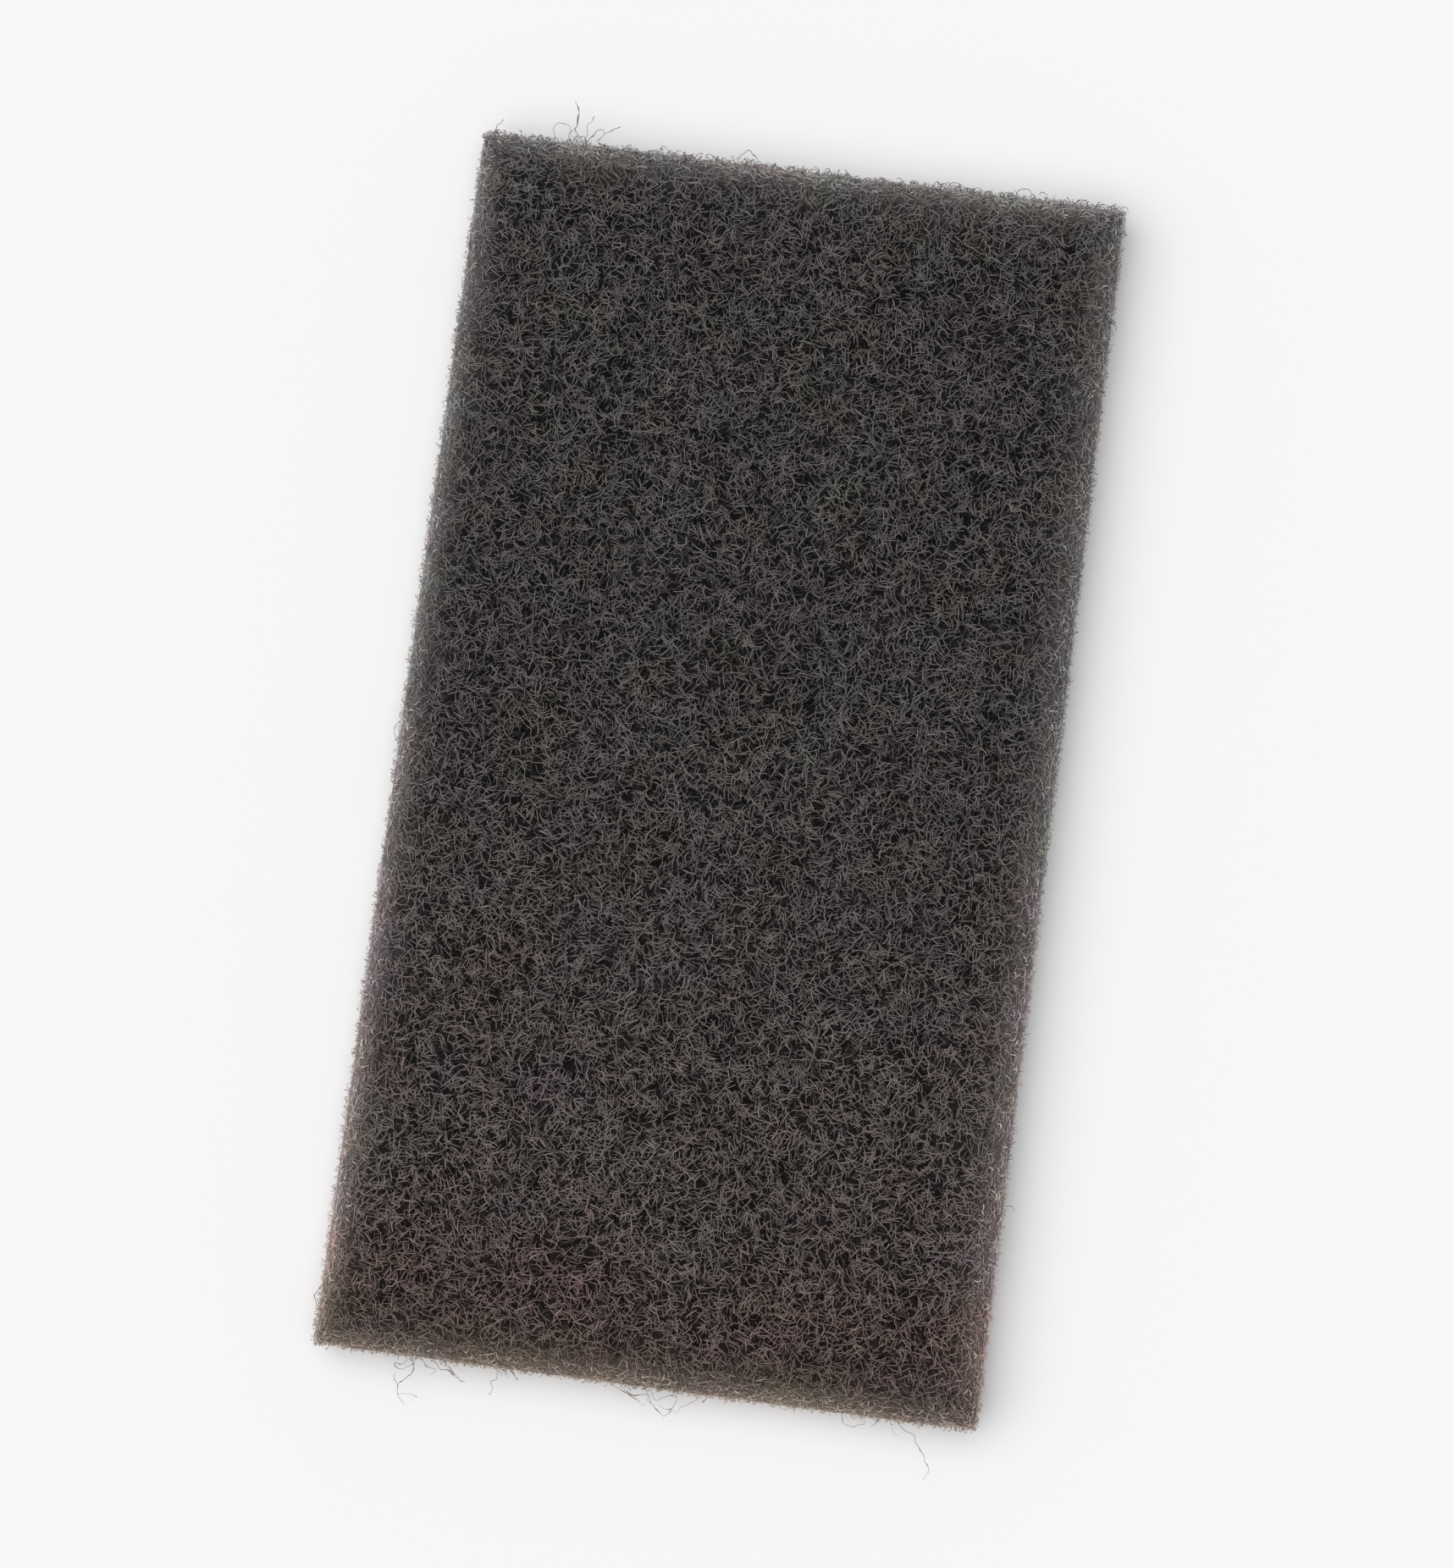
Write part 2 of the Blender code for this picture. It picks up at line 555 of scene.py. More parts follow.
def plain_material(name, roughness, specular):
    material = bpy.data.materials.new(name)
    material.use_nodes = True
    surface = material.node_tree.nodes["Principled BSDF"]
    surface.inputs["Roughness"].default_value = roughness
    surface.inputs["Specular IOR Level"].default_value = specular
    surface.inputs["Metallic"].default_value = 0.0
    return material, material.node_tree, surface


def opaque(colour):
    return (colour[0], colour[1], colour[2], 1.0)


def coat_shades(shade, colours):
    """The coat's colour for a shade from 0, dark, to 1, the palest fibre ends. Its dark end also
    serves as painted shade, and its pale end as painted rim light.
    """
    ramp = add(shade.tree, "ShaderNodeValToRGB", {"Fac": shade})
    named = (colours.shaded, colours.fibre, colours.matted_lit_fibre, colours.pale)
    stops = list(zip((0.0, 0.35, 0.68, 1.0), named))
    while len(ramp.color_ramp.elements) < len(stops):
        ramp.color_ramp.elements.new(0.5)
    for element, (position, colour) in zip(ramp.color_ramp.elements, stops):
        element.position = position
        element.color = opaque(colour)
    return get(shade.tree, ramp, "Color")


def finish_coat(surface, place, colour, colours, grain, strength, height):
    """Gives a surface its colour under the drifting dye, and its coat of grit."""
    tree, tints = place.tree, {"Vector": place}
    for name, *_ in DYE_ZONES:
        tints[name] = opaque(getattr(colours, name.lower().replace(" ", "_")))
    tint = get(tree, group_node(tree, "Dye drift", tints), "Tint")
    grit = group_node(tree, "Grit coat", {"Vector": place, "Grain size": grain})
    bump = {"Strength": strength, "Distance": height, "Height": get(tree, grit, "Height")}
    link(mixed(1.0, colour, tint, blend_type="MULTIPLY"), surface.inputs["Base Color"])
    link(get(tree, grit, "Roughness"), surface.inputs["Roughness"])
    link(made(tree, "ShaderNodeBump", "Normal", bump), surface.inputs["Normal"])


def fibre_material(colours):
    """Resin and grit on single fibres. A fibre's map holds its shade, which carries painted shade
    where it is buried and painted light at the rim.
    """
    _, tree, surface = plain_material("coated_fibre_strand", 0.85, 0.25)
    place = made(tree, "ShaderNodeTexCoord", "Object")
    shade = parts(made(tree, "ShaderNodeUVMap", "UV", uv_map=SHADE_MAP))[0]
    colour = coat_shades(shade, colours)
    finish_coat(surface, place, colour, colours, 0.09 * MM, 0.25, 0.03 * MM)


def core_material(colours):
    """The depth of the web: near black painted shade, crossed by fine deep fibres, and paler
    towards the cut edge, partly matted there and partly painted light.
    """
    _, tree, surface = plain_material("coated_fibre_core", 0.9, 0.1)
    place = made(tree, "ShaderNodeTexCoord", "Object")
    pale = rim_paleness(place)
    strands = []
    for length, width, bend in ((1.0, 0.19, 0.7), (0.6, 0.16, 0.5)):
        strokes = {"Stroke length": length * MM, "Stroke width": width * MM, "Bend": bend * MM}
        found = group_node(tree, "Deep strands", {"Vector": place, **strokes})
        strands.append(get(tree, found, "Strand"))
    strand = mixed(ranged(pale, 0.15, 0.4), *strands, kind="FLOAT")

    # The painted strands take painted shade in the pores and painted light at the rim, where they
    # are matted too, and are paler on the underside
    z = parts(place)[2]
    sunk = PAD_HALF.z - 1.0 * MM - calc("ABSOLUTE", z - MID_HEIGHT)
    sunk = ranged(sunk, 0.3 * MM, 1.5 * MM, smooth=True) * (1.0 - pale)
    under = ranged(z, MID_HEIGHT, MID_HEIGHT - 2.0 * MM, 0.0, 0.24)
    shade = calc("MULTIPLY_ADD", pale, 0.63, 0.02) - sunk * 0.08 + under
    # Between the strands, near black painted shade, which pales towards the cut to the matted, lit
    # rim colour
    gap = mixed(pale * 0.6, opaque(colours.depth), opaque(colours.matted_lit_fibre))
    web = mixed(strand, gap, coat_shades(shade, colours))
    finish_coat(surface, place, web, colours, 0.12 * MM, 0.5, 0.04 * MM)


def floor_material(colour):
    material, _, surface = plain_material("pale_floor", 0.9, 0.0)
    surface.inputs["Base Color"].default_value = opaque(colour)
    return material


# The pad's own shape, read from its frame


def merged_cad():
    """The CAD solid as one joined shell."""
    shell = bmesh.new()
    shell.from_mesh(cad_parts[PAD_NODE].data)
    bmesh.ops.remove_doubles(shell, verts=shell.verts, dist=1e-6)
    return shell


def pore_middles():
    """The bottom of each pore of the CAD solid, as (x, y, height of its face, depth)."""
    shell = merged_cad()
    found = []
    for vert in shell.verts:
        face_height = PAD_HIGH.z if vert.co.z > MID_HEIGHT else PAD_LOW.z
        depth = abs(face_height - vert.co.z)
        on_face = all(abs(vert.co[i]) < PAD_HALF[i] - EDGE_SOFTENING - PORE_MARGIN for i in (0, 1))
        around = max(abs(face_height - e.other_vert(vert).co.z) for e in vert.link_edges)
        if on_face and depth > around + PORE_DROP:
            found.append((vert.co.x, vert.co.y, face_height, depth))
    shell.free()
    return found


def rounded_outline(inset, height):
    """A ring of points round the pad, as many for each inset, so that rings can be joined."""
    half_x, half_y = PAD_HALF.x - inset, PAD_HALF.y - inset
    rounding = min(CORNER_ROUNDING, half_x * 0.5)
    arcs = []
    for sign_x, sign_y, start in ((1, 1, 0), (-1, 1, 90), (-1, -1, 180), (1, -1, 270)):
        middle = Vector((sign_x * (half_x - rounding), sign_y * (half_y - rounding), height))
        turns = [math.radians(start + 90 / CORNER_STEPS * step) for step in range(CORNER_STEPS + 1)]
        arcs.append([middle + rounding * Vector((math.cos(t), math.sin(t), 0.0)) for t in turns])
    ring = []
    for index, arc in enumerate(arcs):
        side_end = arcs[(index + 1) % 4][0]
        steps = LONG_SIDE_STEPS if index % 2 else SHORT_SIDE_STEPS
        ring += arc + [arc[-1].lerp(side_end, step / steps) for step in range(1, steps)]
    return ring


def pad_skin():
    """The pad's outer skin without its pores, as the guide that the fibres follow."""
    half_z = PAD_HALF.z
    insets = [(inset, half_z) for inset in FACE_INSETS]
    for row in range(EDGE_STEPS + 1):
        turn = math.pi / 2 - math.pi * row / EDGE_STEPS
        insets.append((EDGE_SOFTENING * (1 - math.cos(turn)), half_z * math.sin(turn)))
    insets += [(inset, -half_z) for inset in reversed(FACE_INSETS)]
    rings = [rounded_outline(inset, MID_HEIGHT + z) for inset, z in insets]
    size = len(rings[0])
    points = [point for ring in rings for point in ring]
    faces = [tuple(range(size)), tuple(reversed(range(len(points) - size, len(points))))]
    for first in range(0, len(points) - size, size):
        for i in range(size):
            j = (i + 1) % size
            faces.append((first + i, first + size + i, first + size + j, first + j))
    mesh = bpy.data.meshes.new("pad_skin")
    mesh.from_pydata(points, [], faces)
    mesh.shade_smooth()
    return mesh


def shown(name, data):
    """Puts a mesh, a lamp or a camera into the scene as an object of its own."""
    thing = bpy.data.objects.new(name, data)
    bpy.context.scene.collection.objects.link(thing)
    return thing


# The fibre web, made by geometry nodes


def whole_calc(operation, *values):
    """One step of arithmetic with whole numbers."""
    sockets = dict(enumerate(values))
    return made(tree_of(*values), "FunctionNodeIntegerMath", 0, sockets, operation=operation)


def changed(shape, kind, sockets=None, key="Geometry", **settings):
    """Adds a node that changes a shape, and returns the new shape."""
    return made(shape.tree, kind, key, {key: shape, **(sockets or {})}, **settings)


def stored(shape, name, value, kind="FLOAT", domain="POINT"):
    """Keeps a value for each point or corner, so that later nodes or a material can read it."""
    sockets = {"Name": name, "Value": value}
    settings = {"data_type": kind, "domain": domain}
    return changed(shape, "GeometryNodeStoreNamedAttribute", sockets, **settings)


def kept(tree, name, kind="FLOAT"):
    """Reads a value that was stored."""
    name = {"Name": name}
    return made(tree, "GeometryNodeInputNamedAttribute", "Attribute", name, data_type=kind)


def summed(value, fibre, key, kind="FLOAT"):
    """Running sum of a value along each fibre, with a point's own in Leading but not Trailing."""
    sockets = {"Value": value, "Group ID": fibre}
    settings = {"data_type": kind, "domain": "POINT"}
    return made(value.tree, "GeometryNodeAccumulateField", key, sockets, **settings)


def place_along(y, step):
    """From 0 at the front edge to 1 at the rear, and a little more at every other point."""
    place = calc("DIVIDE", y + PAD_HALF.y, 2 * PAD_HALF.y, clamp=True)
    return place + calc("MODULO", step, 2.0) * MAP_SPREAD


WEB_INPUTS = (
    ("Skin", "NodeSocketGeometry"),
    ("Pores", "NodeSocketObject"),
    ("Zone axis", "NodeSocketVector", (0.0, 0.0, 1.0)),
    ("Facing from", "NodeSocketFloat", -1.5),
    ("Facing to", "NodeSocketFloat", 1.5),
    ("Fibres per area", "NodeSocketFloat", 0.0),
    ("Points", "NodeSocketInt", 12),
    ("Segment length", "NodeSocketFloat", 0.0005),
    ("Bend radius", "NodeSocketFloat", 0.0015),
    ("Least depth", "NodeSocketFloat", 0.0001),
    ("Most depth", "NodeSocketFloat", 0.0007),
    ("Start depth", "NodeSocketFloat", 0.001),
    ("End depth", "NodeSocketFloat", 0.001),
    ("End scatter", "NodeSocketFloat", 0.0),
    ("End sharpness", "NodeSocketFloat", 4.0),
    ("Loop height", "NodeSocketFloat", 0.0),
    ("Weave depth", "NodeSocketFloat", 0.0003),
    ("Pore opening", "NodeSocketFloat", 0.09),
    ("Fibre diameter", "NodeSocketFloat", 0.00016),
    ("Lumpiness", "NodeSocketFloat", 0.3),
    ("Least shade", "NodeSocketFloat", 0.30),
    ("Most shade", "NodeSocketFloat", 0.64),
    ("Shade lost per mm", "NodeSocketFloat", 0.47),
    ("Paleness", "NodeSocketFloat", 0.82),
    ("Seed", "NodeSocketInt", 0),
    ("Material", "NodeSocketMaterial"),
)


def fibre_web_tree():
    """Fibres that start at random on a skin, wind over it and dip into it at their ends."""
    outputs = [("Geometry", "NodeSocketGeometry")]
    tree, given, result = new_tree("Fibre web", "GeometryNodeTree", WEB_INPUTS, outputs)
    skin, segment, points = given["Skin"], given["Segment length"], given["Points"]
    axis, facing_from, facing_to = given["Zone axis"], given["Facing from"], given["Facing to"]

    # Starts, each with the way its skin faces
    skin_normal = made(tree, "GeometryNodeInputNormal", "Normal")
    facing = calc("DOT_PRODUCT", skin_normal, axis)
    sown = {"Selection": (facing > facing_from) * (facing < facing_to)}
    sown.update({"Mesh": skin, "Density": given["Fibres per area"], "Seed": given["Seed"]})
    starts = add(tree, "GeometryNodeDistributePointsOnFaces", sown, distribute_method="RANDOM")
    turn = get(tree, starts, "Rotation")
    turned = stored(get(tree, starts, "Points"), "skin_turn", turn, "QUATERNION")
    line = {"Count": points, "Offset": (0.0, 0.0, 0.0)}
    line = made(tree, "GeometryNodeMeshLine", "Mesh", line)
    laid = {"Points": turned, "Instance": line}
    laid = made(tree, "GeometryNodeInstanceOnPoints", "Instances", laid)
    strands = changed(laid, "GeometryNodeRealizeInstances")

    # Which fibre a point belongs to, and where it is along it
    index = made(tree, "GeometryNodeInputIndex", "Index")
    fibre = whole_calc("DIVIDE_FLOOR", index, points)
    step = whole_calc("MODULO", index, points)
    along = step / (points - 1.0)
    travelled = step * segment

    def draw(low, high, turn):
        """A random value for each fibre. Each turn gives other values."""
        sockets = {"Min": low, "Max": high, "ID": fibre}
        sockets["Seed"] = whole_calc("ADD", given["Seed"], turn)
        return made(tree, "FunctionNodeRandomValue", "Value", sockets, data_type="FLOAT")

    def along_noise(scale, turn):
        """A smooth random value along each fibre, mostly between -1 and 1."""
        return wavering(vector_of(travelled * scale, draw(0.0, 900.0, turn)), 1.0) * 4.0

    # The walk over the skin: each fibre has its own bend, and wavers round it
    bend = along_noise(600.0, 1) * 1.3 + draw(-0.5, 0.5, 2)
    bend = bend * (segment / given["Bend radius"])
    heading = summed(bend, fibre, "Leading") + draw(0.0, 2 * math.pi, 3)
    stride = {"Vector": vector_of(calc("COSINE", heading), calc("SINE", heading)) * segment}
    stride["Rotation"] = kept(tree, "skin_turn", "QUATERNION")
    stride = made(tree, "FunctionNodeRotateVector", 0, stride)
    start = made(tree, "GeometryNodeInputPosition", "Position")
    place = start + summed(stride, fibre, "Trailing", "FLOAT_VECTOR")

    # The skin under each point
    under = {"Geometry": skin, "Sample Position": place}
    nearest = add(tree, "GeometryNodeProximity", under, target_element="FACES")
    on_skin = get(tree, nearest, "Position")
    under = {"Mesh": skin, "Sample Position": place, "Value": skin_normal}
    under = add(tree, "GeometryNodeSampleNearestSurface", under, data_type="FLOAT_VECTOR")
    outward = calc("NORMALIZE", get(tree, under, "Value"))

    # The nearest pore, into which some fibres dip, and from which all are pushed a little aside
    pores = {"Object": given["Pores"]}
    pores = add(tree, "GeometryNodeObjectInfo", pores, transform_space="RELATIVE")
    pores = get(tree, pores, "Geometry")
    pore = {"Geometry": pores, "Sample Position": on_skin}
    pore = made(tree, "GeometryNodeSampleNearest", "Index", pore)

    def of_pore(value, kind):
        sockets = {"Geometry": pores, "Index": pore, "Value": value}
        return made(tree, "GeometryNodeSampleIndex", "Value", sockets, data_type=kind)

    middle = of_pore(start, "FLOAT_VECTOR")
    pore_depth = of_pore(kept(tree, "pore_depth"), "FLOAT")
    off_middle = calc("DISTANCE", on_skin, middle)
    hollow = ranged(off_middle, 0.1 * MM, 1.1 * MM, 1.0, 0.0, smooth=True)
    dip = pore_depth * hollow * draw(0.0, 1.0, 4) ** 2.5
    opening = most(pore_depth - 1.0 * MM, 0.0) * given["Pore opening"]
    aside = ranged(off_middle, 0.0, 1.0 * MM, 1.0, 0.0, smooth=True)
    aside = aside * opening * draw(0.2, 1.0, 11)
    on_skin = on_skin + calc("NORMALIZE", on_skin - middle) * aside

    # How deep each point lies: its fibre's own depth, then the dip of its ends and its loop
    own_depth = draw(0.0, 1.0, 5) * (given["Most depth"] - given["Least depth"])
    weave = along_noise(700.0, 6) * given["Weave depth"]
    swell = wavering(on_skin, 110.0, 1.0) * (0.25 * MM)
    body = most(own_depth + weave + (dip + swell), 0.0)
    ahead = 1.0 - along
    reach = 1.0 - draw(0.0, 1.0, 12) * given["End scatter"]
    to_end = along ** given["End sharpness"] * reach**2.0 * given["End depth"]
    loop = along * ahead * 4.0 * given["Loop height"] * draw(0.0, 1.0, 13)
    ends = ahead**4.0 * given["Start depth"] + to_end - loop
    depth = body + given["Least depth"] + ends
    final = on_skin - outward * depth

    # A fibre's own thickness, so that the lowest ones rest on the floor
    thick = calc("MULTIPLY_ADD", along_noise(GRIT_SCALE, 9), given["Lumpiness"], 1.0)
    thick = most(thick * draw(0.75, 1.15, 10), 0.35)
    thick = thick * ranged(rim_distance(final), 0.0, 3.5 * MM, 0.65, 1.0)
    rest_height = given["Fibre diameter"] * TUBE_RADIUS * thick
    x, y, z = parts(final)
    final = vector_of(x, y, most(z, rest_height))

    # A fibre's shade: its own random tone, with painted shade where it is buried, and paler at the
    # rim, partly matted and partly painted light, with painted glints
    shade = draw(given["Least shade"], given["Most shade"], 7)
    shade = shade + along_noise(GRIT_SCALE, 8) * 0.10
    shade = shade - most(depth, 0.0) * given["Shade lost per mm"] / MM
    pale = rim_paleness(final) * given["Paleness"]
    glint = ranged(x, 2.5 * MM - PAD_HALF.x, 0.5 * MM - PAD_HALF.x, GLINT, LEFT_GLINT)
    pale = calc("MULTIPLY_ADD", pale, along_noise(GRIT_SCALE, 14) * glint, pale)
    shade = calc("ADD", shade, pale, clamp=True)

    # What strays past the zone or off the skin is cut away
    faces = calc("DOT_PRODUCT", outward, axis)
    strayed = most(
        get(tree, nearest, "Distance") > 1.2 * MM,
        faces < facing_from - 0.1,
        faces > facing_to + 0.1,
    )
    values = {"shade": shade, "run": place_along(y, step)}
    values.update({"strayed": strayed, "thickness": thick})
    for name, value in values.items():
        strands = stored(strands, name, value)
    strands = changed(strands, "GeometryNodeSetPosition", {"Position": final})
    gone = {"Selection": kept(tree, "strayed") > 0.5}
    strands = changed(strands, "GeometryNodeDeleteGeometry", gone, domain="POINT")
    curve = made(tree, "GeometryNodeMeshToCurve", "Curve", {"Mesh": strands})
    link(tubes(curve, given), result["Geometry"])


def tubes(curve, given):
    """Closed three-sided tubes along curves whose points hold a shade, a run and a thickness."""
    tree = curve.tree
    ring = {"Resolution": TUBE_SIDES, "Radius": given["Fibre diameter"] * TUBE_RADIUS}
    ring = made(tree, "GeometryNodeCurvePrimitiveCircle", "Curve", ring, mode="RADIUS")
    side = made(tree, "GeometryNodeInputIndex", "Index")
    swept = {"Curve": curve, "Profile Curve": stored(ring, "around", side / float(TUBE_SIDES))}
    swept.update({"Scale": kept(tree, "thickness"), "Fill Caps": True})
    mesh = made(tree, "GeometryNodeCurveToMesh", "Mesh", swept)
    across = kept(tree, "around") - 0.33
    across = calc("MULTIPLY_ADD", across, MAP_SPREAD, kept(tree, "shade"))
    spot = vector_of(
        calc("MULTIPLY_ADD", across, MAP_SCALE, SHADE_MARGIN),
        calc("MULTIPLY_ADD", kept(tree, "run"), MAP_SCALE, RUN_MARGIN),
    )
    mesh = stored(mesh, SHADE_MAP, spot, "FLOAT2", "CORNER")
    mesh = changed(mesh, "GeometryNodeSetShadeSmooth", {"Shade Smooth": True})
    mesh = changed(mesh, "GeometryNodeRealizeInstances")
    return changed(mesh, "GeometryNodeSetMaterial", {"Material": given["Material"]})


STRAY_INPUTS = (
    ("Routes", "NodeSocketGeometry"),
    ("Segment length", "NodeSocketFloat", 0.0003),
    ("Fibre diameter", "NodeSocketFloat", 0.00012),
    ("Crimp", "NodeSocketFloat", 0.0003),
    ("Knots", "NodeSocketFloat", 1.2),
    ("Seed", "NodeSocketInt", 0),
    ("Material", "NodeSocketMaterial"),
)


def stray_fibre_tree():
    """Fibres along given routes, with small crimps, and knots where the resin has gathered."""
    outputs = [("Geometry", "NodeSocketGeometry")]
    tree, given, result = new_tree("Stray fibres", "GeometryNodeTree", STRAY_INPUTS, outputs)
    curve = made(tree, "GeometryNodeMeshToCurve", "Curve", {"Mesh": given["Routes"]})
    curve = changed(curve, "GeometryNodeCurveSplineType", key="Curve", spline_type="CATMULL_ROM")
    curve = changed(curve, "GeometryNodeSetSplineResolution", {"Resolution": 8})
    evened = {"Length": given["Segment length"]}
    curve = changed(curve, "GeometryNodeResampleCurve", evened, key="Curve", mode="LENGTH")
    place = made(tree, "GeometryNodeInputPosition", "Position")
    moved = place + vector_of(given["Seed"] * 0.137)
    crimp = vector_wavering(moved, 900.0) * (given["Crimp"] * 2.0)
    curve = changed(curve, "GeometryNodeSetPosition", {"Offset": crimp})
    along = made(tree, "GeometryNodeSplineParameter", "Factor")
    knot = ranged(noise(moved, 1100.0), 0.58, 0.68, smooth=True)
    thick = ranged(along, 0.5, 1.0, 1.0, 0.55) + knot * given["Knots"]
    point = made(tree, "GeometryNodeInputIndex", "Index")
    values = {"thickness": thick * kept(tree, "share"), "run": place_along(parts(place)[1], point)}
    values["shade"] = ranged(along, 0.3, 1.0, 0.30, 0.20)
    for name, value in values.items():
        curve = stored(curve, name, value)
    link(tubes(curve, given), result["Geometry"])


